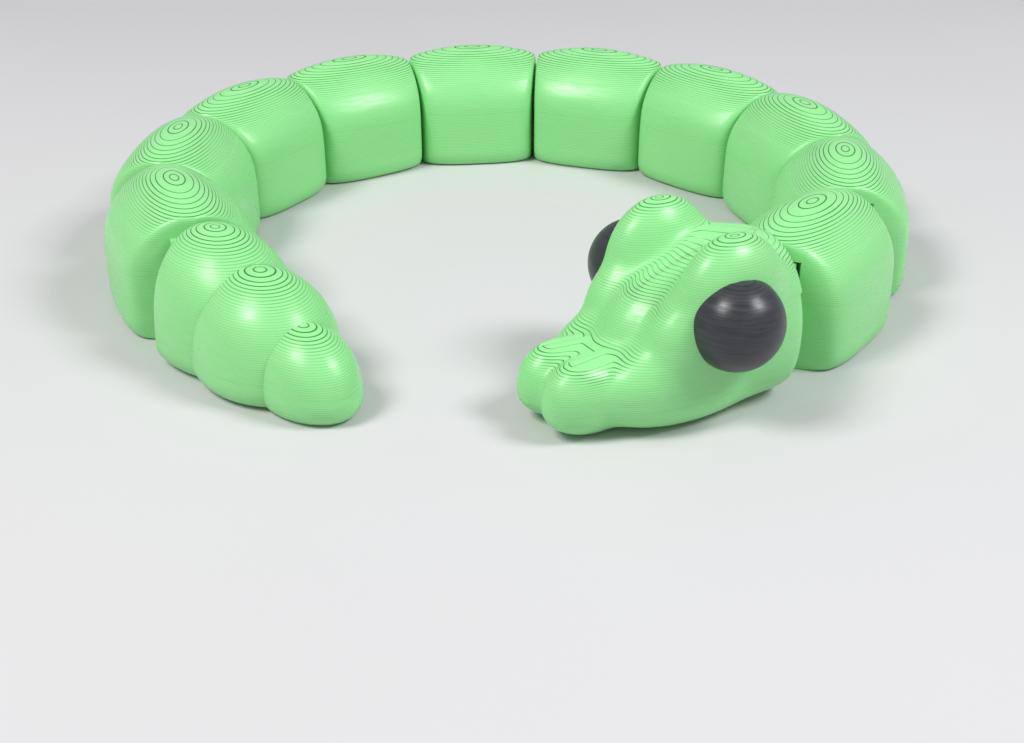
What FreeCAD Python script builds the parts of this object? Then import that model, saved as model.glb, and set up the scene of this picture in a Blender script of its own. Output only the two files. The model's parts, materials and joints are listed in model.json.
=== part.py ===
import FreeCAD, Part
import math
import os
import Sketcher

# An articulated snake toy, printed in place: a head with two eyes, ten equal body
# segments and a three-lobed tail, joined nose to tail by upright knuckle hinges.
# Each piece is made in its own frame: X points towards the snake's nose, Z is up
# and the floor is Z = 0.  A body segment's origin is midway between its hinges; the
# head's and the tail's is on their only hinge.  The pieces are then laid in the ring
# in which the snake rests.

SEGMENTS = 10
V = FreeCAD.Vector

doc = FreeCAD.newDocument("articulated_snake")

# ---------------------------------------------------------------- driving sizes
SIZES = [
    ("pitch", 17.0, "hinge to hinge along one body segment"),
    ("body_width", 15.0, "over the sides of a segment"),
    ("body_height", 13.9, "floor to the top of a segment's dome"),
    ("crease_height", 9.0, "floor to the soft edge under the dome"),
    ("end_drop", 1.2, "how much lower the dome is at a segment's ends"),
    ("foot_round", 1.6, "rounding round the foot of a segment"),
    ("corner_round", 2.6, "rounding of a segment's upright corners"),
    ("stop_angle", 27.5, "turn either way at which two end faces meet"),
    ("first_heading", -125.7, "way the first segment behind the head points"),
    ("rest_angle", 26.6, "turn of each body hinge in the resting ring"),
    ("neck_angle", 23.3, "turn of the head's hinge in the resting ring"),
    ("tail_angle", 17.7, "turn of the tail's hinge in the resting ring"),
    ("end_gap", 0.12, "each end face stands this far off the hinge axis"),
    ("hinge_floor", 2.6, "floor to the underside of the lower ear"),
    ("ear_thickness", 2.0, "each of the two ears of a hinge"),
    ("knuckle_height", 3.4, "the knuckle between the ears"),
    ("knuckle_radius", 2.5, "ears and knuckle, seen from above"),
    ("pin_radius", 1.1, "the pin between the ears"),
    ("hinge_gap", 0.3, "clearance round the knuckle, the ears and the pin"),
    ("skull_forward", 4.8, "middle of the skull, ahead of the neck hinge"),
    ("skull_long", 20.0, "length of the skull"),
    ("skull_width", 17.4, "over the cheeks"),
    ("skull_height", 14.4, "floor to the top of the skull"),
    ("brow_forward", 9.2, "middle of each brow, ahead of the neck hinge"),
    ("brow_long", 12.6, "length of a brow"),
    ("brow_side", 5.4, "middle of each brow, out from the middle"),
    ("brow_width", 7.0, "width of a brow"),
    ("brow_height", 16.9, "floor to the top of the brows"),
    ("brow_deep", 11.8, "top to underside of a brow"),
    ("bridge_forward", 12.4, "middle of the slope between brows and nose"),
    ("bridge_long", 17.0, "its length"),
    ("bridge_width", 12.4, "its width"),
    ("bridge_height", 11.8, "floor to its top"),
    ("snout_forward", 17.0, "middle of the snout, ahead of the neck hinge"),
    ("snout_long", 16.0, "length of the snout"),
    ("snout_width", 10.2, "width of the snout"),
    ("snout_height", 8.2, "floor to the top of the snout"),
    ("nose_forward", 21.7, "middle of each nose lobe, ahead of the neck hinge"),
    ("nose_long", 8.4, "length of a nose lobe"),
    ("nose_side", 2.2, "middle of each nose lobe, out from the middle"),
    ("nose_width", 5.4, "width of a nose lobe"),
    ("nose_height", 7.3, "floor to the top of the nose lobes"),
    ("eye_radius", 4.2, "each eyeball"),
    ("eye_forward", 9.9, "eye centre ahead of the neck hinge"),
    ("eye_side", 7.6, "eye centre out from the middle"),
    ("eye_height", 9.8, "eye centre above the floor"),
    ("lobe_one_height", 13.4, "height of the first tail lobe"),
    ("lobe_one_width", 13.8, "width of the first tail lobe"),
    ("lobe_one_forward", -4.4, "its centre, behind the tail hinge"),
    ("lobe_one_long", 15.0, "its whole length"),
    ("lobe_two_height", 11.4, "height of the second tail lobe"),
    ("lobe_two_width", 13.4, "width of the second tail lobe"),
    ("lobe_two_forward", -10.8, "its centre, behind the tail hinge"),
    ("lobe_two_long", 14.0, "its whole length"),
    ("lobe_tip_height", 8.2, "height of the tail's tip"),
    ("lobe_tip_width", 8.8, "width of the tail's tip"),
    ("lobe_tip_forward", -17.4, "its centre, behind the tail hinge"),
    ("lobe_tip_long", 12.8, "its whole length"),
    ("middle", 0.0, "the snake's own middle plane"),
    ("sole_cut", 1.0, "how much of the head's and lobes' underside is cut flat"),
]
sheet = doc.addObject("Spreadsheet::Sheet", "Sizes")
for row, (alias, value, meaning) in enumerate(SIZES, start=1):
    sheet.set("A%d" % row, meaning)
    sheet.set("B%d" % row, str(value))
    sheet.setAlias("B%d" % row, alias)
doc.recompute()

ALIASES = sorted((entry[0] for entry in SIZES), key=len, reverse=True)


def size(alias):
    """A driving size, read back from the sheet."""
    return float(sheet.get(alias))


def cell(text):
    """Turn [alias] into the sheet's cell of that name."""
    for alias in ALIASES:
        text = text.replace("[" + alias + "]", "Sizes." + alias)
    return text


# ------------------------------------------------------------- sketches and features
def add(body, kind, name):
    """Start a PartDesign feature at the body's tip, its faces left as they are cut."""
    feature = body.newObject("PartDesign::" + kind, name)
    feature.Refine = False
    return feature


def new_body(name):
    """An empty PartDesign body whose label names its piece."""
    body = doc.addObject("PartDesign::Body", name)
    body.Label = name
    return body


def new_sketch(body, name, plane):
    """An empty sketch on one of the body's own origin planes."""
    sketch = body.newObject("Sketcher::SketchObject", name)
    for feature in body.Origin.OriginFeatures:
        if feature.Role == plane:
            sketch.AttachmentSupport = [(feature, "")]
    sketch.MapMode = "FlatFace"
    return sketch


def fix(sketch, name, expression, *constraint):
    """Add one named dimension to a sketch and tie it to the sheet."""
    index = sketch.addConstraint(Sketcher.Constraint(*constraint))
    sketch.renameConstraint(index, name)
    sketch.setExpression("Constraints." + name, cell(expression))


def join_ends(sketch, count):
    """Close a chain of edges, each one's end on the next one's start."""
    for i in range(count):
        sketch.addConstraint(Sketcher.Constraint("Coincident", i, 2, (i + 1) % count, 1))


def cut_through(body, name, sketch):
    """Cut a sketch's outline through the whole body, both ways."""
    before = body.Tip.Shape.Volume
    pocket = add(body, "Pocket", name)
    pocket.Profile = sketch
    pocket.Type = "ThroughAll"
    pocket.Midplane = True
    doc.recompute()
    if pocket.Shape.Volume >= before:
        raise RuntimeError(name + " removed nothing")


def end_faces(body, facing, forward):
    """Cut one end to two faces that lean back on either side of the hinge axis.

    facing is +1 for a front end and -1 for a rear end; forward is the hinge axis's
    distance from the piece's origin as an expression, always towards facing.
    """
    reach = 40.0
    rough_tip = 8.0
    name = "front_faces" if facing > 0 else "rear_faces"
    sketch = new_sketch(body, name + "_outline", "XY_Plane")
    lean = reach * math.tan(math.radians(size("stop_angle") / 2))
    tip = V(facing * rough_tip, 0, 0)
    corners = [tip, V(tip.x - facing * lean, reach, 0), V(facing * reach, reach, 0),
               V(facing * reach, -reach, 0), V(tip.x - facing * lean, -reach, 0)]
    for i in range(5):
        sketch.addGeometry(Part.LineSegment(corners[i], corners[(i + 1) % 5]), False)
    join_ends(sketch, 5)
    sketch.addConstraint(Sketcher.Constraint("Horizontal", 1))
    sketch.addConstraint(Sketcher.Constraint("Vertical", 2))
    sketch.addConstraint(Sketcher.Constraint("Symmetric", 0, 2, 4, 1, -1))
    sketch.addConstraint(Sketcher.Constraint("PointOnObject", 0, 1, -1))
    fix(sketch, "reach", "%g mm" % reach, "DistanceY", -1, 1, 0, 2, reach)
    ends = (-1, 1, 1, 2) if facing > 0 else (1, 2, -1, 1)
    fix(sketch, "outer", "%g mm" % reach, "DistanceX", *ends, reach)
    ends = (-1, 1, 0, 1) if facing > 0 else (0, 1, -1, 1)
    fix(sketch, "tip", forward + " - [end_gap]", "DistanceX", *ends, rough_tip)
    ends = (0, 2, 0, 1) if facing > 0 else (0, 1, 0, 2)
    fix(sketch, "lean", "%g * tan([stop_angle] / 2 * 1 deg)" % reach, "DistanceX", *ends, lean)
    cut_through(body, name, sketch)


def dome(body, name, plane, half, drop):
    """Round the top off to an arc that falls by drop at half the body's span."""
    top = size("body_height")
    wide = 30.0
    sketch = new_sketch(body, name + "_outline", plane)
    flat = half + "^2 / (2 * (" + drop + ")) + (" + drop + ") / 2"
    half_now, drop_now = (size("body_width") / 2, top - size("crease_height"))
    if plane == "XZ_Plane":
        half_now, drop_now = (size("pitch") / 2, size("end_drop"))
    radius = half_now ** 2 / (2 * drop_now) + drop_now / 2
    reach = 0.9 * half_now + 0.1 * radius
    rise = math.sqrt(radius ** 2 - reach ** 2)
    centre = V(0, top - radius, 0)
    start, end = V(-reach, centre.y + rise, 0), V(reach, centre.y + rise, 0)
    arc = Part.Arc(end, V(0, top, 0), start)
    sketch.addGeometry(arc, False)
    sketch.addGeometry(Part.LineSegment(start, V(-reach, wide, 0)), False)
    sketch.addGeometry(Part.LineSegment(V(-reach, wide, 0), V(reach, wide, 0)), False)
    sketch.addGeometry(Part.LineSegment(V(reach, wide, 0), end), False)
    join_ends(sketch, 4)
    sketch.addConstraint(Sketcher.Constraint("Vertical", 1))
    sketch.addConstraint(Sketcher.Constraint("Vertical", 3))
    sketch.addConstraint(Sketcher.Constraint("PointOnObject", 0, 3, -2))
    sketch.addConstraint(Sketcher.Constraint("Symmetric", 1, 2, 2, 2, -2))
    fix(sketch, "radius", flat, "Radius", 0, radius)
    low_first = (0, 3, -1, 1) if centre.y < 0 else (-1, 1, 0, 3)
    sink = "abs([body_height] - (" + flat + "))"
    fix(sketch, "centre", sink, "DistanceY", *low_first, abs(centre.y))
    fix(sketch, "half", "0.9 * %s + 0.1 * (%s)" % (half, flat), "DistanceX", -1, 1, 2, 2, reach)
    fix(sketch, "above", "%g mm" % wide, "DistanceY", -1, 1, 2, 2, wide)
    cut_through(body, name, sketch)


def disc(body, kind, name, forward, radius, low, tall):
    """Add or cut an upright disc on the X axis, from height low, tall high."""
    before = body.Tip.Shape.Volume
    feature = add(body, kind + "Cylinder", name)
    feature.setExpression("Radius", cell(radius))
    feature.setExpression("Height", cell(tall))
    feature.setExpression("Placement.Base.x", cell(forward))
    feature.setExpression("Placement.Base.z", cell(low))
    doc.recompute()
    grew = feature.Shape.Volume > before
    if grew != (kind == "Additive"):
        raise RuntimeError("%s.%s did nothing" % (body.Name, name))


# Heights of a hinge's parts, from the floor up.
KNUCKLE = "[hinge_floor] + [ear_thickness] + [hinge_gap]"
UPPER_EAR = KNUCKLE + " + [knuckle_height] + [hinge_gap]"
EAR_ROOM = "[ear_thickness] + 2 * [hinge_gap]"
WIDE = "[knuckle_radius] + [hinge_gap]"


def add_knuckle(body, forward):
    """The front half of a hinge: a bored knuckle, and room for two ears."""
    disc(body, "Subtractive", "lower_room", forward, WIDE, "[hinge_floor] - [hinge_gap]", EAR_ROOM)
    disc(body, "Subtractive", "upper_room", forward, WIDE, UPPER_EAR + " - [hinge_gap]", EAR_ROOM)
    disc(body, "Additive", "knuckle", forward, "[knuckle_radius]", KNUCKLE, "[knuckle_height]")
    disc(body, "Subtractive", "bore", forward, "[pin_radius] + [hinge_gap]", KNUCKLE,
         "[knuckle_height]")


def add_ears(body, forward):
    """The rear half of a hinge: a slot for the knuckle, two ears and their pin."""
    disc(body, "Subtractive", "slot", forward, WIDE, KNUCKLE + " - [hinge_gap]",
         "[knuckle_height] + 2 * [hinge_gap]")
    disc(body, "Additive", "lower_ear", forward, "[knuckle_radius]", "[hinge_floor]",
         "[ear_thickness]")
    disc(body, "Additive", "upper_ear", forward, "[knuckle_radius]", UPPER_EAR, "[ear_thickness]")
    disc(body, "Additive", "pin", forward, "[pin_radius]", "[hinge_floor]",
         "2 * [ear_thickness] + [knuckle_height] + 2 * [hinge_gap]")


def round_edges(body, name, radius, wanted):
    """Fillet the edges that wanted picks out by their middle and direction."""
    names = []
    for index, edge in enumerate(body.Tip.Shape.Edges, start=1):
        middle = edge.valueAt((edge.FirstParameter + edge.LastParameter) / 2)
        along = edge.tangentAt((edge.FirstParameter + edge.LastParameter) / 2)
        if wanted(middle, along):
            names.append("Edge%d" % index)
    rounded = body.Tip
    fillet = add(body, "Fillet", name)
    fillet.Base = (rounded, names)
    fillet.setExpression("Radius", cell(radius))
    doc.recompute()


# -------------------------------------------------------------------- body segment
def make_segment(name):
    """One body segment: a loaf with leaning end faces, a knuckle and two ears."""
    body = new_body(name)
    block = add(body, "AdditiveBox", "block")
    block.setExpression("Length", cell("[pitch]"))
    block.setExpression("Width", cell("[body_width]"))
    block.setExpression("Height", cell("[body_height]"))
    block.setExpression("Placement.Base.x", cell("-[pitch] / 2"))
    block.setExpression("Placement.Base.y", cell("-[body_width] / 2"))
    doc.recompute()
    end_faces(body, 1, "[pitch] / 2")
    end_faces(body, -1, "[pitch] / 2")
    dome(body, "cross_dome", "YZ_Plane", "([body_width] / 2)", "[body_height] - [crease_height]")
    dome(body, "long_dome", "XZ_Plane", "([pitch] / 2)", "[end_drop]")
    round_edges(body, "upright_corners", "[corner_round]",
                lambda middle, along: abs(along.z) > 0.99 and abs(middle.y) > 1)
    round_edges(body, "foot", "[foot_round]",
                lambda middle, along: middle.z < 1e-6)
    add_knuckle(body, "[pitch] / 2")
    add_ears(body, "-[pitch] / 2")
    return body


# ---------------------------------------------------------------------------- head
def place(feature, forward, side, up):
    """Tie where a primitive stands to the sheet."""
    feature.setExpression("Placement.Base.x", cell(forward))
    feature.setExpression("Placement.Base.y", cell(side))
    feature.setExpression("Placement.Base.z", cell(up))


def flat_sole(body):
    """Cut everything below the floor away, so that the piece stands flat."""
    reach = 80.0
    sole = add(body, "SubtractiveBox", "sole")
    sole.Length = reach
    sole.Width = reach
    sole.Height = reach
    sole.Placement = FreeCAD.Placement(V(-reach / 2, -reach / 2, -reach), FreeCAD.Rotation())
    doc.recompute()


def egg(body, name, kind, high, low, side):
    """One egg-shaped lump of a body, whose top and underside are given as heights."""
    lump = add(body, "AdditiveEllipsoid", name)
    lump.setExpression("Radius1", cell("(%s - %s) / 2" % (high, low)))
    lump.setExpression("Radius2", cell("[%s_long] / 2" % kind))
    lump.setExpression("Radius3", cell("[%s_width] / 2" % kind))
    place(lump, "[%s_forward]" % kind, side, "(%s + %s) / 2" % (high, low))
    doc.recompute()


def make_head():
    """The head: skull, brows, snout and nose lobes, two eye sockets and the neck's ears."""
    body = new_body("head")
    for kind in ("skull", "bridge", "snout"):
        egg(body, kind, kind, "[%s_height]" % kind, "-[sole_cut]", "[middle]")
    for sign, word in ((1, "left"), (-1, "right")):
        egg(body, word + "_brow", "brow", "[brow_height]", "([brow_height] - [brow_deep])",
            "%d * [brow_side]" % sign)
        egg(body, word + "_nose", "nose", "[nose_height]", "-[sole_cut]",
            "%d * [nose_side]" % sign)
    flat_sole(body)
    for sign, word in ((1, "left"), (-1, "right")):
        socket = add(body, "SubtractiveSphere", word + "_socket")
        eyeball(socket, sign)
    end_faces(body, -1, "[middle]")
    add_ears(body, "[middle]")
    return body


def eyeball(feature, sign):
    """The sphere that an eye and its socket share."""
    feature.setExpression("Radius", cell("[eye_radius]"))
    place(feature, "[eye_forward]", "%d * [eye_side]" % sign, "[eye_height]")
    doc.recompute()


def make_eye(name, sign):
    """One eyeball, which sits in the head's socket of the same size."""
    body = new_body(name)
    eyeball(add(body, "AdditiveSphere", "ball"), sign)
    return body


# ---------------------------------------------------------------------------- tail
def make_tail():
    """The tail: three shrinking lobes in one piece, and the knuckle of its hinge."""
    body = new_body("tail")
    for kind in ("lobe_one", "lobe_two", "lobe_tip"):
        egg(body, kind, kind, "[%s_height]" % kind, "-[sole_cut]", "[middle]")
    flat_sole(body)
    end_faces(body, 1, "[middle]")
    add_knuckle(body, "[middle]")
    return body


# ------------------------------------------------------------------ the resting ring
def direction(heading):
    """Unit vector on the floor at a heading in degrees."""
    return V(math.cos(math.radians(heading)), math.sin(math.radians(heading)), 0)


def lay(body, spot, heading):
    """Lay a piece with its origin at a spot and its nose at a heading."""
    body.Placement = FreeCAD.Placement(spot, FreeCAD.Rotation(V(0, 0, 1), heading))


head = make_head()
eyes = [make_eye("left_eye", 1), make_eye("right_eye", -1)]
segments = [make_segment("body_segment_%02d" % (k + 1)) for k in range(SEGMENTS)]
tail = make_tail()

hinge = V(0, 0, 0)
heading = size("first_heading") - size("neck_angle")
hinges = [hinge]
for piece in [head] + eyes:
    lay(piece, hinge, heading)
heading = size("first_heading")
for piece in segments:
    half_way = direction(heading) * (size("pitch") / 2)
    lay(piece, hinge - half_way, heading)
    hinge = hinge - half_way * 2
    hinges.append(hinge)
    heading += size("rest_angle")
lay(tail, hinge, heading - size("rest_angle") + size("tail_angle"))
doc.recompute()

# The origin is the middle of the ring's footprint on the floor.
pieces = [head] + eyes + segments + [tail]
box = FreeCAD.BoundBox()
for piece in pieces:
    box.add(piece.Shape.optimalBoundingBox(False))
middle = V(box.Center.x, box.Center.y, 0)
for piece in pieces:
    piece.Placement.Base = piece.Placement.Base - middle
doc.recompute()

# --------------------------------------------------------------------- check, write
for thing in doc.Objects:
    if "Invalid" in thing.State or "Error" in thing.State:
        raise RuntimeError("%s failed: %s" % (thing.Name, thing.State))
for piece in pieces:
    shape = piece.Shape
    if shape.isNull() or not shape.isValid() or len(shape.Solids) != 1:
        raise RuntimeError(piece.Label + " is not one valid solid")

os.makedirs("parts", exist_ok=True)
for piece in pieces:
    piece.Shape.exportStep("parts/%s.step" % piece.Label)
    bounds = piece.Shape.optimalBoundingBox(False)
    print("%-16s %8.1f mm3  x %6.1f %6.1f  y %6.1f %6.1f  z %5.2f %5.2f" % (
        piece.Label, piece.Shape.Volume, bounds.XMin, bounds.XMax,
        bounds.YMin, bounds.YMax, bounds.ZMin, bounds.ZMax))
print("ring %.1f x %.1f x %.1f mm" % (box.XLength, box.YLength, box.ZLength))
for number, spot in enumerate(hinges, start=1):
    print("hinge %2d at %.5f %.5f" % (number, spot.x - middle.x, spot.y - middle.y))
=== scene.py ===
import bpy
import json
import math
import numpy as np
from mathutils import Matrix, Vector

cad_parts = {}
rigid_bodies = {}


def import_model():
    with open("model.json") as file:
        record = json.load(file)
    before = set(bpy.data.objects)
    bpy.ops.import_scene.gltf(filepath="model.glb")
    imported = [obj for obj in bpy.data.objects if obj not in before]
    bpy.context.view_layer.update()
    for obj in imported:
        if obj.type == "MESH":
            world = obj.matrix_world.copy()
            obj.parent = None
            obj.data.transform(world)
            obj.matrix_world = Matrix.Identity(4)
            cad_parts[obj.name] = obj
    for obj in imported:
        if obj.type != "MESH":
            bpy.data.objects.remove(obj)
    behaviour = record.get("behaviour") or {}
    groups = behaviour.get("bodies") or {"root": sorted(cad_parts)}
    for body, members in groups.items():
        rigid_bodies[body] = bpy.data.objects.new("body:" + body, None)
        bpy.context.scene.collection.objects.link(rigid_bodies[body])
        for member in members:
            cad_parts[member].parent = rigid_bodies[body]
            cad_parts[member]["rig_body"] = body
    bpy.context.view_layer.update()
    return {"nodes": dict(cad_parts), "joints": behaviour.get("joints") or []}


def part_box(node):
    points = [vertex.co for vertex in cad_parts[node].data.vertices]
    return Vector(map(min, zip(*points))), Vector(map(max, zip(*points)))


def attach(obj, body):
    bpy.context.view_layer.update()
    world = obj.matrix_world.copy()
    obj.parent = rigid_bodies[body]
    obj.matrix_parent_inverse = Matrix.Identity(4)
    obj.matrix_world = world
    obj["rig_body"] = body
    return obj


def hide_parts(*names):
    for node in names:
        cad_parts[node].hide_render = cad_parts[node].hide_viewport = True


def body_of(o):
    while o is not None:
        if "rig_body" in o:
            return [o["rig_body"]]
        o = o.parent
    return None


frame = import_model()
# %% [markdown]
# # An articulated snake, printed in place
#
# The toy is printed in one go: a head, ten body segments and a tail that come off the
# print bed already hinged to each other.  A printer draws each piece as a pile of thin
# flat layers, and those layers are what the eye sees first: fine lines down the sides
# and rings like a map's contours on every dome.  So the lesson builds each piece the
# way the printer does, as a stack of outlines.
#
# The CAD model is already loaded and gives every hinge's place.

MM = 0.001

# %% [markdown]
# ## Where each piece lies
#
# Each piece is shaped in its own frame: X points to the snake's nose, Z is up and the
# floor is Z = 0.  Its place in the ring comes from the hinges at its two ends.  The
# head and the tail have one hinge each, so their heading comes from the middle of
# their own CAD shape, which is the same on both sides of the hinge's middle plane.

# %% Hinges and headings
HINGES = np.array([joint["pos_m"] for joint in frame["joints"]])[:, :2] / MM
SEGMENTS = ["body_segment_%02d" % (k + 1) for k in range(len(HINGES) - 1)]
PITCH = float(np.linalg.norm(HINGES[0] - HINGES[1]))


def middle_of(node):
    """The area-weighted middle of a CAD node's faces, seen from above, in mm."""
    faces = frame["nodes"][node].data.polygons
    areas = np.empty(len(faces))
    centres = np.empty(len(faces) * 3)
    faces.foreach_get("area", areas)
    faces.foreach_get("center", centres)
    return (areas[:, None] * centres.reshape(-1, 3)).sum(0)[:2] / areas.sum() / MM


def heading(tail_end, nose_end):
    """Angle on the floor from one point to the other."""
    step = np.asarray(nose_end) - np.asarray(tail_end)
    return math.atan2(step[1], step[0])


PLACES = {"head": (HINGES[0], heading(HINGES[0], middle_of("head"))),
          "tail": (HINGES[-1], heading(middle_of("tail"), HINGES[-1]))}
for name, front, rear in zip(SEGMENTS, HINGES[:-1], HINGES[1:]):
    PLACES[name] = ((front + rear) / 2, heading(rear, front))
for name, (spot, angle) in PLACES.items():
    print("%-16s at %6.1f %6.1f mm, heading %6.1f" % (name, *spot, math.degrees(angle)))

# %% [markdown]
# ## Printing a piece
#
# A layer of molten plastic is 0.2 mm tall.  On a steep side the layers melt into one
# smooth wall.  Where the piece narrows fast, as on a dome, the edge of each layer shows
# as a fine dark crease, and the creases lie further apart the flatter the dome is.
#
# One surface does both: a grid whose columns go round the piece and whose rows climb
# it.  Each layer starts with a crease row, and a row close to either side of it keeps
# the crease the same width on every slope.  The dark of a crease is painted shade.
# The points carry a mark: 0 on a layer's face, and in a crease a number that grows as
# the surface flattens.

# %% From outlines to a closed mesh
LAYER = 0.2
CREASE_WIDTH = 0.075
# The marks are painted shade in the layer creases: faint on a steep side, darkest on a flat one,
# and on one of the last small rings.
FAINTEST = 0.07  # crease mark on a steep side
FADED, FULL = 0.6, 3.0  # slopes at which creases start to show and are at their darkest
LAST_RINGS = ((0.90, 0.0), (0.50, 0.0), (0.42, 0.7), (0.34, 0.0))  # share of outline, mark


def smooth_step(value, low, high):
    """0 below low, 1 above high and an S-curve between."""
    share = np.clip((value - low) / (high - low), 0, 1)
    return share * share * (3 - 2 * share)


def put_round(reach, around, centre, heights):
    """Points at a distance in each direction from each height's centre."""
    x = centre[:, :1] + reach * np.cos(around)
    y = centre[:, 1:] + reach * np.sin(around)
    return np.stack([x, y, np.repeat(heights[:, None], len(around), 1)], 2)


def pile(top, around, centre_at, wall, hinges=None, bottom=0.0, plain_below=0.0):
    """Vertices with crease marks, and faces, of a closed pile of printed layers.

    wall(heights, around, centre) gives how far the piece's smooth wall is from the
    centre in each direction, at the planes between layers.  hinges(reach, middles,
    around, centre) pushes or cuts whole layers.  A layer's side runs from its lower
    plane to its upper one; its slope is the change in reach for one layer's height.
    Layers under plain_below are steep, so they give only their lowest row.  Inside the
    last outline the nozzle leaves one more small ring, whose dark line is painted shade.
    """
    lowest, highest = round(bottom / LAYER), math.floor(top / LAYER - 0.01)
    planes = np.arange(lowest, highest + 1) * LAYER
    middles = planes[:-1] + LAYER / 2
    centre = centre_at(planes)
    reach = wall(planes, around, centre)
    low, high = reach[:-1], reach[1:]
    if hinges:
        low = hinges(low, middles, around, centre[:-1])
        high = hinges(high, middles, around, centre[1:])
    under = put_round(low, around, centre[:-1], planes[:-1])
    over = put_round(high, around, centre[1:], planes[1:])
    side = over - under
    length = np.linalg.norm(side, axis=2, keepdims=True)
    edge = side / length * np.minimum(CREASE_WIDTH, 0.3 * length)
    slope = np.abs(low - high) / LAYER
    # Painted shade: a crease darkens more the flatter the surface is.
    mark = FAINTEST + (1 - FAINTEST) * smooth_step(slope, FADED, FULL)
    rows = np.stack([under, under + edge, over - edge, over], 1)
    marks = np.stack([mark, 0 * mark, 0 * mark, mark], 1)
    # A layer's upper row stays only where the next layer starts somewhere else.
    kept = np.ones(rows.shape[:2], bool)
    kept[:-1, 3] = np.abs(high[:-1] - low[1:]).max(1) > 0.01
    kept[middles < plain_below, 1:3] = False
    marks[middles < plain_below] = 0
    grid = np.concatenate([rows, marks[..., None]], 3)[kept]
    ends = np.array([[*centre[0], planes[0], 0], [*centre[-1], top, 0]])
    bare = np.concatenate([over[-1], 0 * mark[-1][:, None]], 1)
    rings = [ends[1] + share * (bare - ends[1]) + (0, 0, 0, ring_mark)
             for share, ring_mark in LAST_RINGS]
    return close_grid(np.concatenate([grid, rings]), ends)


def close_grid(grid, ends):
    """Vertices and faces of a grid closed round its columns, with a fan to each end."""
    rows, columns = grid.shape[:2]
    here = np.arange(rows * columns).reshape(rows, columns)
    on = np.roll(here, -1, 1)
    quads = np.stack([here[:-1], on[:-1], on[1:], here[1:]], -1).reshape(-1, 4)
    under = np.stack([on[0], here[0], np.full(columns, rows * columns)], -1)
    over = np.stack([here[-1], on[-1], np.full(columns, rows * columns + 1)], -1)
    return np.vstack([grid.reshape(-1, 4), ends]), [quads, under, over]


def standing_at(forward, side=0.0):
    """A centre line that stands upright at one spot."""
    return lambda heights: np.tile([[forward, side]], (len(heights), 1))


def lay_down(vertices, place):
    """Turn and move points from a piece's own frame to the ring's, and into metres."""
    (x, y), angle = place
    turn = np.array([[math.cos(angle), math.sin(angle)], [-math.sin(angle), math.cos(angle)]])
    laid = vertices.copy()
    laid[:, :2] = vertices[:, :2] @ turn + (x, y)
    return laid * MM


def make_piece(name, piles, place, node, material):
    """One object from one or more closed piles, riding the body of the node it replaces."""
    vertices, faces, start = [], [], 0
    for points, kinds in piles:
        vertices.append(points)
        faces += [kind + start for kind in kinds]
        start += len(points)
    mesh = bpy.data.meshes.new(name)
    points = np.vstack(vertices)
    mesh.from_pydata(lay_down(points[:, :3], place).tolist(), [],
                     [face for kind in faces for face in kind.tolist()])
    # Each point keeps its mark of painted shade for its crease.
    marks = mesh.attributes.new("crease", "FLOAT", "POINT")
    marks.data.foreach_set("value", points[:, 3].astype(np.float32))
    mesh.shade_smooth()
    mesh.set_sharp_from_angle(angle=math.radians(50))
    mesh.materials.append(material)
    piece = bpy.data.objects.new(name, mesh)
    bpy.context.scene.collection.objects.link(piece)
    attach(piece, body_of(frame["nodes"][node])[0])
    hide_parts(node)
    print("%-16s %6d faces" % (name, len(mesh.polygons)))
    return piece


# %% [markdown]
# ## Layer lines in the plastic
#
# Even on a smooth wall the layers differ a little: the printer lays some a hair wider
# and some a hair glossier.  The plastic is also slightly clear, and its creases are
# darkened to a richer green by painted shade.  Both finishes on this toy are printed, so
# this is one node group with an input for each material's own strengths, and it gives a
# mask of the painted shade in the creases, a random tint for each layer and the small
# unevenness along a layer.

# %% A node group for printed layers
def node(tree, kind, inputs=(), **settings):
    """Add a node, set its properties and fill or link its inputs by index."""
    made = tree.nodes.new("ShaderNode" + kind)
    for key, value in settings.items():
        setattr(made, key, value)
    for index, value in dict(inputs).items():
        if isinstance(value, bpy.types.NodeSocket):
            tree.links.new(value, made.inputs[index])
        else:
            made.inputs[index].default_value = value
    return made


def maths(tree, operation, first, second=0.5, clamp=False):
    """One Math node's output."""
    made = node(tree, "Math", {0: first, 1: second}, operation=operation, use_clamp=clamp)
    return made.outputs[0]


def ramp(tree, value, low, high, start=0.0, end=1.0):
    """A value carried smoothly from the range low-high to start-end."""
    made = node(tree, "MapRange", {0: value, 1: low, 2: high, 3: start, 4: end},
                interpolation_type="SMOOTHSTEP")
    return made.outputs[0]


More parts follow.
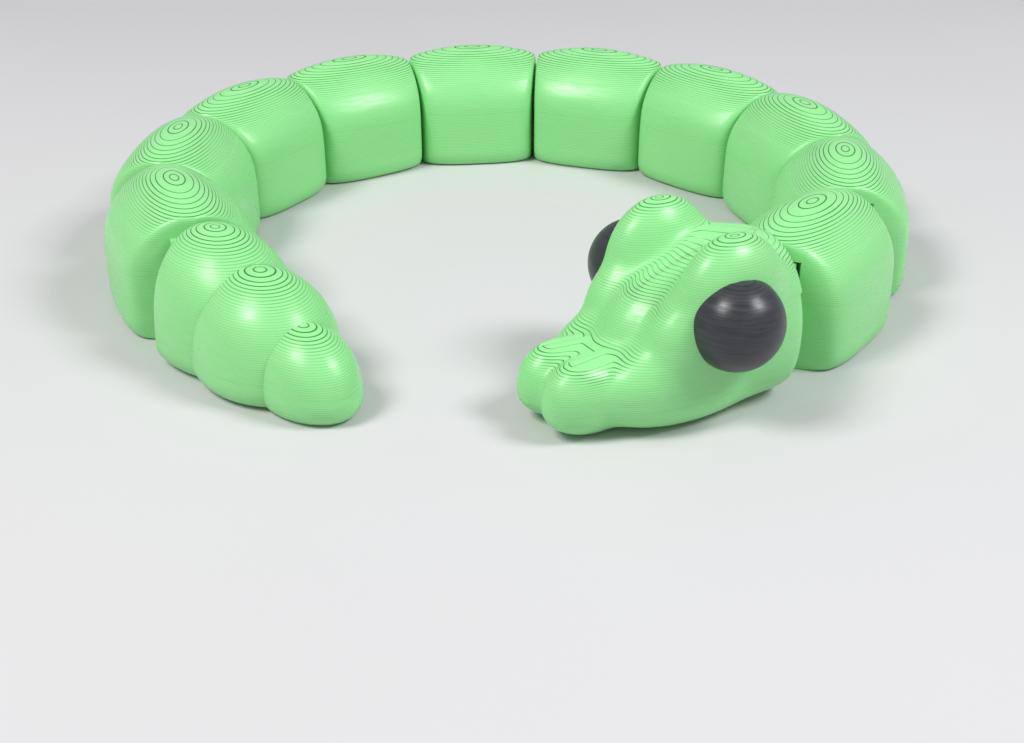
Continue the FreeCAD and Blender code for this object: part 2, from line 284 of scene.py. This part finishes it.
def layer_group():
    """Masks of printed layers, from the height above the print bed and the crease mark.

    The crease output is painted shade: the mesh's own mark of the steps, and also 1 within
    Width of the plane between two layers on a steep side, times Side lines.  Shade is one
    random value for each layer.  Streaks is a noise drawn out along the layers.
    """
    group = bpy.data.node_groups.new("Printed layers", "ShaderNodeTree")
    for name, value in (("Layer height", LAYER * MM), ("Width", 0.25), ("Side lines", 0.10)):
        made = group.interface.new_socket(name, in_out="INPUT", socket_type="NodeSocketFloat")
        made.default_value = value
    for name in ("Crease shade", "Shade", "Streaks", "Height"):
        group.interface.new_socket(name, in_out="OUTPUT", socket_type="NodeSocketFloat")
    given = group.nodes.new("NodeGroupInput")
    result = group.nodes.new("NodeGroupOutput")
    where = node(group, "TexCoord").outputs["Object"]
    up = node(group, "SeparateXYZ", {0: where}).outputs["Z"]
    count = maths(group, "DIVIDE", up, given.outputs["Layer height"])
    part = maths(group, "PINGPONG", count, 0.5)
    near = ramp(group, maths(group, "DIVIDE", part, given.outputs["Width"]), 0.2, 1.0, 1.0, 0.0)
    facing = node(group, "NewGeometry").outputs["Normal"]
    tilt = maths(group, "ABSOLUTE", node(group, "SeparateXYZ", {0: facing}).outputs["Z"])
    steep = ramp(group, tilt, 0.75, 0.95, 1.0, 0.0)
    # Painted shade lines between layers on steep sides; the same lines also dent the bump.
    side = maths(group, "MULTIPLY", maths(group, "MULTIPLY", near, steep),
                 given.outputs["Side lines"])
    # Painted shade in the creases, from the mesh's mark.
    steps = node(group, "Attribute", attribute_name="crease").outputs["Fac"]
    crease = maths(group, "MAXIMUM", side, steps)
    number = maths(group, "FLOOR", maths(group, "ADD", count, 0.001))
    random = node(group, "TexWhiteNoise", {1: number}, noise_dimensions="1D").outputs["Value"]
    squash = node(group, "Mapping", {0: where, 3: (1, 1, 9)}).outputs[0]
    streaks = node(group, "TexNoise", {0: squash, 2: 420.0, 3: 3.0}).outputs[0]
    height = maths(group, "SUBTRACT", maths(group, "MULTIPLY", streaks, 0.5), side)
    for name, socket in (("Crease shade", crease), ("Shade", random), ("Streaks", streaks),
                         ("Height", height)):
        group.links.new(socket, result.inputs[name])
    return group


LAYERS = layer_group()
print("node group:", LAYERS.name, "with", len(LAYERS.nodes), "nodes")

# %% [markdown]
# ## Mint green plastic
#
# The green filament is pale, a little milky and half glossy.  Seen from the side its
# creases look a dark clear green; painted shade runs the colour from pale mint on each
# layer's face to a rich green in the crease.  A little light passes under the surface.

# %% The two finishes
def blend(tree, factor, first, second):
    """One colour turning into another."""
    made = tree.nodes.new("ShaderNodeMix")
    made.data_type = "RGBA"
    for socket, value in ((made.inputs["Factor"], factor), (made.inputs[6], first),
                          (made.inputs[7], second)):
        if isinstance(value, bpy.types.NodeSocket):
            tree.links.new(value, socket)
        else:
            socket.default_value = value
    return made.outputs[2]


def printed_plastic(name, face, painted_crease_shade, shade, gloss, crease_shade_strength, depth):
    """Printed plastic with its own colours and gloss.

    face and shade are the two colours that vary over a layer's face.  The crease colour
    is painted shade, and the crease strength is how far a fully marked crease turns to it
    (past 1 the painted shade gets wider); gloss is the middle roughness and depth the bump's height
    in metres.
    """
    material = bpy.data.materials.new(name)
    material.use_nodes = True
    tree = material.node_tree
    surface = tree.nodes["Principled BSDF"]
    layers = tree.nodes.new("ShaderNodeGroup")
    layers.node_tree = LAYERS
    # Painted shade: each crease turns towards the dark crease colour.
    crease_shade_mask = maths(tree, "MULTIPLY", layers.outputs["Crease shade"], crease_shade_strength, clamp=True)
    uneven = ramp(tree, layers.outputs["Streaks"], 0.3, 0.7)
    base = blend(tree, uneven, face, shade)
    wavered = blend(tree, maths(tree, "MULTIPLY", layers.outputs["Shade"], 0.3), base, shade)
    tree.links.new(blend(tree, crease_shade_mask, wavered, painted_crease_shade), surface.inputs["Base Color"])
    rough = ramp(tree, layers.outputs["Streaks"], 0.25, 0.75, gloss - 0.06, gloss + 0.08)
    tree.links.new(rough, surface.inputs["Roughness"])
    bump = node(tree, "Bump", {0: 0.5, 1: depth, 3: layers.outputs["Height"]})
    tree.links.new(bump.outputs[0], surface.inputs["Normal"])
    surface.inputs["IOR"].default_value = 1.47
    return material


# Each finish's crease colour is painted shade, a dark tone of its plastic for the creases.
MINT = printed_plastic("green_plastic", face=(0.31, 0.77, 0.305, 1),
                       painted_crease_shade=(0.012, 0.15, 0.016, 1), shade=(0.285, 0.745, 0.28, 1),
                       gloss=0.32, crease_shade_strength=1.8, depth=0.00002)
MINT_SURFACE = MINT.node_tree.nodes["Principled BSDF"]
MINT_SURFACE.inputs["Subsurface Weight"].default_value = 0.15
MINT_SURFACE.inputs["Subsurface Radius"].default_value = (0.3, 1.0, 0.35)
MINT_SURFACE.inputs["Subsurface Scale"].default_value = 0.0008
CHARCOAL = printed_plastic("black_plastic", face=(0.028, 0.030, 0.036, 1),
                           painted_crease_shade=(0.004, 0.004, 0.005, 1), shade=(0.045, 0.047, 0.055, 1),
                           gloss=0.34, crease_shade_strength=0.8, depth=0.00004)
print("finishes:", MINT.name, CHARCOAL.name)

# %% [markdown]
# ## The hinges
#
# Behind every piece two flat ears stick out round the hinge's axis, and the piece that
# follows has a knuckle which sits between them.  To make room, each front end has a
# round bite above and below its knuckle, and each rear end has a bite between its ears.
# In an outline drawn from a centre, an ear is a disc that pushes the outline out, and
# a bite is a disc that pulls it in.

# %% Discs added to and cut from an outline
EAR = 2.5
GAP = 0.3
BITE = EAR + GAP
LOWER_EAR, UPPER_EAR = (2.6, 4.6), (8.6, 10.6)
KNUCKLE = (5.0, 8.2)
STOP = math.tan(math.radians(27.5 / 2))
END_GAP = 0.12


def chord(around, distance, radius):
    """Where rays from a centre enter and leave a disc that lies distance along X.

    The ray at angle a meets the circle at d cos a, less and plus the root of
    radius squared less (d sin a) squared.  Rays that miss it get no number.
    """
    along = distance * np.cos(around)
    inside = radius ** 2 - (distance * np.sin(around)) ** 2
    root = np.sqrt(np.where(inside > 0, inside, np.nan))
    met = along > 0
    return np.where(met, along - root, np.nan), np.where(met, along + root, np.nan)


def between(heights, low, high):
    """Which layers lie between two heights, as a column."""
    return ((heights > low) & (heights < high))[:, None]


def front_hinge(reach, middles, around, distance):
    """Push out the knuckle's layers and cut the rooms for the ears above and below it."""
    knuckle = between(middles, *KNUCKLE)
    room = between(middles, LOWER_EAR[0] - GAP, UPPER_EAR[1] + GAP) & ~knuckle
    pushed = np.fmax(reach, chord(around, distance, EAR)[1])
    bitten = np.fmin(reach, chord(around, distance, BITE)[0])
    return np.where(knuckle, pushed, np.where(room, bitten, reach))


def rear_hinge(reach, middles, around, distance):
    """Push out both ears' layers and cut the slot for the knuckle between them."""
    ears = between(middles, *LOWER_EAR) | between(middles, *UPPER_EAR)
    slot = between(middles, LOWER_EAR[1], UPPER_EAR[0])
    pushed = np.fmax(reach, chord(around, distance, EAR)[1])
    bitten = np.fmin(reach, chord(around, distance, BITE)[0])
    return np.where(ears, pushed, np.where(slot, bitten, reach))


def soft_least(sharpness, *reaches):
    """The smallest of several outlines, with a rounded corner where they cross."""
    return sum(np.clip(r, 1e-3, 1e3) ** -sharpness for r in reaches) ** (-1 / sharpness)


def end_face(around, distance, facing):
    """Reach of the two flat faces of one end, which lean back from the hinge's axis.

    A face is the line X = distance - |Y| times the stop's slope; the ray at angle a
    meets it at distance over (cos a + slope |sin a|), if it points that way.
    """
    lean = facing * np.cos(around) + STOP * np.abs(np.sin(around))
    return np.where(lean > 1e-3, distance / np.maximum(lean, 1e-3), 1e3)


def crowded(columns, *spots):
    """Directions round a circle, gathered near some spots.

    The angles run evenly and are then pulled towards each spot by a sine, so that the
    ears and knuckles get the most columns.
    """
    even = (np.arange(columns) + 0.5) / columns * 2 * math.pi
    return even - sum(0.30 * np.sin(2 * (even - spot)) for spot in spots)


print("ears and knuckle reach %.1f mm from the axis, bites %.1f mm" % (EAR, BITE))


# %% [markdown]
# ## Body segments
#
# A segment is a loaf.  Its top is a dome, much more curved across the snake than along
# it; its sides are a rounded box that draws in at the foot.  The dome at a height h
# below its top has an oval outline, with both half axes the root of 2 R h.  The two
# meet along a soft edge, and the end faces cut both off crisply.

# %% A segment's outlines
SEGMENT_TOP = 13.9
DOME_ACROSS, DOME_ALONG = 4.9, 27.0  # the dome's radii at its top
HALF_LONG, HALF_WIDE = 9.6, 7.35


def dome(around, below, across, along):
    """Reach of a dome's oval outline at a depth below its top."""
    oval = np.cos(around) ** 2 / (2 * along) + np.sin(around) ** 2 / (2 * across)
    return np.sqrt(np.maximum(below, 0) / oval)


def loaf(around, half_long, half_wide, squareness):
    """Reach of a rounded rectangle: |X/a| and |Y/b| to a power, added up to 1."""
    sides = (np.abs(np.cos(around)) / half_long) ** squareness
    sides = sides + (np.abs(np.sin(around)) / half_wide) ** squareness
    return sides ** (-1 / squareness)


def foot(heights, tall, inset):
    """How far outlines draw in near the floor, as a share, on a quarter round."""
    share = np.clip(1 - heights / tall, 0, 1)
    return 1 - inset * (1 - np.sqrt(1 - share ** 2))[:, None]


def segment_wall(heights, around, centre):
    """A segment's smooth wall: the least of its side, its dome and its end faces.

    The sides are longer than the segment, so that the end faces cut them off.
    """
    side = loaf(around, HALF_LONG, HALF_WIDE, 3.1) * foot(heights, 2.0, 0.13)
    roof = dome(around, (SEGMENT_TOP - heights)[:, None], DOME_ACROSS, DOME_ALONG)
    reach = soft_least(12, side, roof)
    for facing in (1, -1):
        reach = soft_least(24, reach, end_face(around, PITCH / 2 - END_GAP, facing))
    return reach


def segment_hinges(reach, middles, around, centre):
    """A knuckle in front and ears behind."""
    reach = front_hinge(reach, middles, around, PITCH / 2)
    return rear_hinge(reach, middles, around, -PITCH / 2)


SEGMENT_PILE = pile(SEGMENT_TOP, crowded(192, 0.0), standing_at(0.0), segment_wall,
                    segment_hinges, plain_below=7.0)
for name in SEGMENTS:
    make_piece("printed_" + name, [SEGMENT_PILE], PLACES[name], name, MINT)

# %% [markdown]
# ## The tail
#
# The tail is one piece: three shrinking lobes that run into each other.  Each lobe is a
# small loaf with an oval plan and its own dome, so it gets its own pile, and the piles
# stand inside one another.  Where two of them cross, the print shows a crisp valley.
# The last lobe is drawn out towards the tail's end, like an egg.

# %% The tail's outlines
LOBES = (  # middle behind the hinge, half length, half width, height, dome across, along
    (3.8, 10.2, 6.9, 12.9, 4.4, 7.5),
    (11.2, 8.6, 6.8, 11.0, 4.4, 6.5),
    (17.7, 6.6, 4.5, 7.8, 3.0, 5.0),
)


def lobe_wall(heights, around, half_long, half_wide, top, across, along):
    """One lobe's smooth wall: the least of its oval side, drawn out behind, and its dome."""
    behind = 0.5 - 0.5 * np.cos(around)
    side = loaf(around, half_long, half_wide, 2.15 - 0.25 * behind) * foot(heights, 2.4, 0.3)
    roof = dome(around, (top - heights)[:, None], across, along)
    return soft_least(6, side, roof)


def lobe_pile(middle, *sizes):
    """A lobe's layers; the front lobe is cut off by the end faces and has the knuckle."""
    def wall(heights, around, centre):
        reach = lobe_wall(heights, around, *sizes)
        return soft_least(16, reach, end_face(around, middle - END_GAP, 1))

    def knuckle(reach, middles, around, centre):
        return front_hinge(reach, middles, around, middle)

    hinges = knuckle if middle == LOBES[0][0] else None
    return pile(sizes[2], crowded(192, 0.0), standing_at(-middle), wall, hinges, plain_below=3.0)


TAIL_PILES = [lobe_pile(*sizes) for sizes in LOBES]
print("tail lobes' tops, mm:", [sizes[3] for sizes in LOBES])
make_piece("printed_tail", TAIL_PILES, PLACES["tail"], "tail", MINT)

# %% [markdown]
# ## The head
#
# The head is modelled like clay, from egg-shaped lumps pressed together: a skull, two
# brows, a bridge down to the snout, and two nose lobes.  Each lump gives a number that
# falls off around it, the numbers are added, and the skin is where the sum is 1, so
# neighbours melt into each other.  The layers are then cut from that skin.  Near the top
# a layer has two separate outlines, one for each brow, so everything above the upper
# ear is two piles that stand on the main one and meet at the middle plane.

# %% Lumps, and the skin round them
HEAD_CENTRE = 9.0  # forward of the neck hinge
LUMPS = (  # middle: forward, side, up; half: length, width, height; softness; squareness
    (4.4, 0.0, 6.7, 9.0, 8.3, 7.7, 6.0, 2.1, 2.3),
    (8.8, 5.3, 11.0, 5.4, 3.3, 5.9, 3.6, 2.0, 2.2),
    (8.8, -5.3, 11.0, 5.4, 3.3, 5.9, 3.6, 2.0, 2.2),
    (10.6, 0.0, 5.2, 7.8, 5.0, 7.2, 3.6, 2.0, 3.0),
    (12.0, 4.7, 7.8, 4.6, 3.0, 3.9, 3.6, 2.0, 2.2),
    (12.0, -4.7, 7.8, 4.6, 3.0, 3.9, 3.6, 2.0, 2.2),
    (12.5, 4.2, 4.0, 8.2, 3.4, 4.2, 3.6, 2.0, 3.4),
    (12.5, -4.2, 4.0, 8.2, 3.4, 4.2, 3.6, 2.0, 3.4),
    (18.2, 0.0, 3.3, 6.4, 4.8, 3.5, 4.5, 2.2, 3.4),
    (21.7, 2.1, 3.4, 3.8, 2.5, 3.6, 7.0, 2.1, 2.6),
    (21.7, -2.1, 3.4, 3.8, 2.5, 3.6, 7.0, 2.1, 2.6),
)


def skin(x, y, z):
    """The logarithm of the sum of all lumps' numbers: 0 on the skin, more inside.

    A lump's number is e to the power of its softness times (1 - d), where d adds up
    the distances from its middle in half lengths, widths and heights, each raised to
    the lump's squareness.  Below its middle the height has a squareness of its own.
    """
    total = 0
    for forward, side, up, long, wide, tall, soft, square, below in LUMPS:
        apart = (np.abs(x - forward) / long) ** square + (np.abs(y - side) / wide) ** square
        upright = np.abs(z - up) / tall
        apart = apart + upright ** np.where(z > up, square, below)
        total = total + np.exp(soft * (1 - apart))
    return np.log(total)


def skin_reach(heights, around, centre, furthest):
    """First crossing of the skin along each ray, between two steps in a straight line."""
    steps = np.linspace(0.05, furthest, 260)
    x = centre[:, :1, None] + steps * np.cos(around)[None, :, None]
    y = centre[:, 1:, None] + steps * np.sin(around)[None, :, None]
    depth = skin(x, y, heights[:, None, None])
    first = np.maximum((depth < 0).argmax(2), 1)
    outer = np.take_along_axis(depth, first[:, :, None], 2)[:, :, 0]
    inner = np.take_along_axis(depth, first[:, :, None] - 1, 2)[:, :, 0]
    share = np.clip(inner / np.maximum(inner - outer, 1e-9), 0, 1)
    reach = steps[first - 1] + share * (steps[first] - steps[first - 1])
    return np.where(inner > 0, reach, 0.05)


at_half_height = skin_reach(np.array([8.0]), np.array([0.0]), np.array([[HEAD_CENTRE, 0.0]]), 18.0)
print(len(LUMPS), "lumps; 8 mm up, the skin's front is %.1f mm ahead of the neck hinge"
      % (HEAD_CENTRE + at_half_height[0, 0]))

# %% [markdown]
# ### From the skin to three piles
#
# Below the shoulder one outline takes in the whole head, with the ears of the neck
# hinge behind.  Above it each half has an outline of its own, drawn from under its brow.

# %% The head's piles
SHOULDER = UPPER_EAR[1]
BROW_CENTRE = (9.0, 5.4)
BROW_TOP = 16.85


def head_wall(heights, around, centre):
    """The head's skin, cut off behind by the end faces at the neck."""
    reach = skin_reach(heights, around, centre, 18.0) * foot(heights, 2.6, 0.12)
    return soft_least(16, reach, end_face(around, centre[:, :1] - END_GAP, -1))


def head_hinge(reach, middles, around, centre):
    """Ears behind."""
    return rear_hinge(reach, middles, around, -centre[:, :1])


def half_wall(heights, around, centre):
    """The skin of one half of the upper head, cut off at the middle and at the neck.

    A little of the other half is kept, so that no gap opens between them.  The ray at
    angle a meets the middle plane at the centre's distance from it over sin a, and the
    neck's face at (x - gap - slope |y|) over (slope sin a - cos a), y and a being
    measured outwards.
    """
    forward, side = centre[0]
    out = np.sign(side) * np.sin(around)
    inwards = np.maximum(-out, 1e-3)
    back = np.maximum(STOP * out - np.cos(around), 1e-3)
    neck = (forward - END_GAP - STOP * abs(side)) / back
    reach = np.minimum(skin_reach(heights, around, centre, 16.0), (abs(side) + 0.2) / inwards)
    return soft_least(16, reach, neck)


HEAD_PILES = [pile(SHOULDER + LAYER, crowded(320, 0.0), standing_at(HEAD_CENTRE), head_wall,
                   head_hinge, plain_below=3.0)]
for side in (1, -1):
    centre_line = standing_at(BROW_CENTRE[0], side * BROW_CENTRE[1])
    HEAD_PILES.append(pile(BROW_TOP, crowded(256), centre_line, half_wall, bottom=SHOULDER))
make_piece("printed_head", HEAD_PILES, PLACES["head"], "head", MINT)

# %% [markdown]
# ## The eyes
#
# Each eye is a ball printed in dark plastic and pressed into its socket.  Its layers
# are circles: at a height h from its middle the radius is the root of R squared less
# h squared.

# %% Two printed balls
def eye_pile(radius, middle):
    """All layers of a ball of a radius, around a middle at a height."""
    def wall(heights, around, centre):
        across = np.sqrt(np.maximum(radius ** 2 - (heights - middle) ** 2, 0.01))
        return across[:, None] + 0 * around

    first = math.ceil((middle - radius) / LAYER + 0.01) * LAYER
    return pile(middle + radius, crowded(96), standing_at(0.0), wall, bottom=first)


for name in ("left_eye", "right_eye"):
    low, high = np.array(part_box(name)) / MM
    middle = (low + high) / 2
    ball = eye_pile((high[2] - low[2]) / 2, middle[2])
    make_piece("printed_" + name, [ball], (middle[:2], 0.0), name, CHARCOAL)

# %% [markdown]
# ## Table, light and camera
#
# The snake lies on a plain pale table that fades into a slightly darker wall of light.
# Two large soft lights stand to the left and right, which gives each dome a broad
# highlight and each eye its two catch lights, and the sky fills the shadows.

# %% The table
def pale_table():
    """A very large flat sheet with a fine, barely seen texture."""
    material = bpy.data.materials.new("pale_table")
    material.use_nodes = True
    tree = material.node_tree
    surface = tree.nodes["Principled BSDF"]
    where = node(tree, "TexCoord").outputs["Object"]
    cloudy = node(tree, "TexNoise", {0: where, 2: 9.0, 3: 4.0}).outputs[0]
    colour = blend(tree, ramp(tree, cloudy, 0.3, 0.7), (0.61, 0.60, 0.61, 1), (0.63, 0.62, 0.63, 1))
    tree.links.new(colour, surface.inputs["Base Color"])
    surface.inputs["Roughness"].default_value = 0.55
    surface.inputs["Specular IOR Level"].default_value = 0.3
    mesh = bpy.data.meshes.new("table")
    corners = 2.5 * np.array([[-1, -1, 0], [1, -1, 0], [1, 1, 0], [-1, 1, 0]])
    mesh.from_pydata(corners.tolist(), [], [(0, 1, 2, 3)])
    mesh.materials.append(material)
    table = bpy.data.objects.new("table", mesh)
    bpy.context.scene.collection.objects.link(table)
    return table


pale_table()


# %% The lights
def soft_light(name, spot, size, power, colour):
    """A square soft light that faces the middle of the snake."""
    lamp = bpy.data.lights.new(name, "AREA")
    lamp.shape = "SQUARE"
    lamp.size = size
    lamp.energy = power
    lamp.color = colour
    light = bpy.data.objects.new(name, lamp)
    light.location = spot
    aim = -light.location.normalized()
    light.rotation_euler = aim.to_track_quat("-Z", "Y").to_euler()
    bpy.context.scene.collection.objects.link(light)


# %% [markdown]
# ## Two windows and the sky
#
# The left window is the stronger one and slightly warmer.  Both are small enough to
# give the plastic clear highlights and large enough for soft shadows.

# %% Set the lights
soft_light("left_window", (-0.25, -0.16, 0.38), 0.16, 1.5, (1.0, 0.99, 0.97))
soft_light("right_window", (0.28, -0.10, 0.32), 0.14, 1.1, (0.97, 0.99, 1.0))
sky = bpy.data.worlds.new("soft sky")
sky.use_nodes = True
sky.node_tree.nodes["Background"].inputs[0].default_value = (0.90, 0.93, 0.96, 1)
sky.node_tree.nodes["Background"].inputs[1].default_value = 0.40
bpy.context.scene.world = sky
bpy.context.scene.view_settings.view_transform = "Standard"

# %% [markdown]
# ## The camera
#
# It looks down on the ring from the side where the head and the tail nearly meet, and
# its place is measured from the neck hinge.

# %% The camera
lens = bpy.data.cameras.new("camera")
lens.lens = 50
lens.sensor_width = 36
lens.clip_start = 0.005
camera = bpy.data.objects.new("camera", lens)
camera.location = ((HINGES[0][0] - 23.64) * MM, (HINGES[0][1] - 120.63) * MM, 62.0 * MM)
camera.rotation_euler = (math.radians(90 - 27.53), 0, 0)
bpy.context.scene.collection.objects.link(camera)
bpy.context.scene.camera = camera
print("camera %.0f mm above the table" % (camera.location.z / MM))
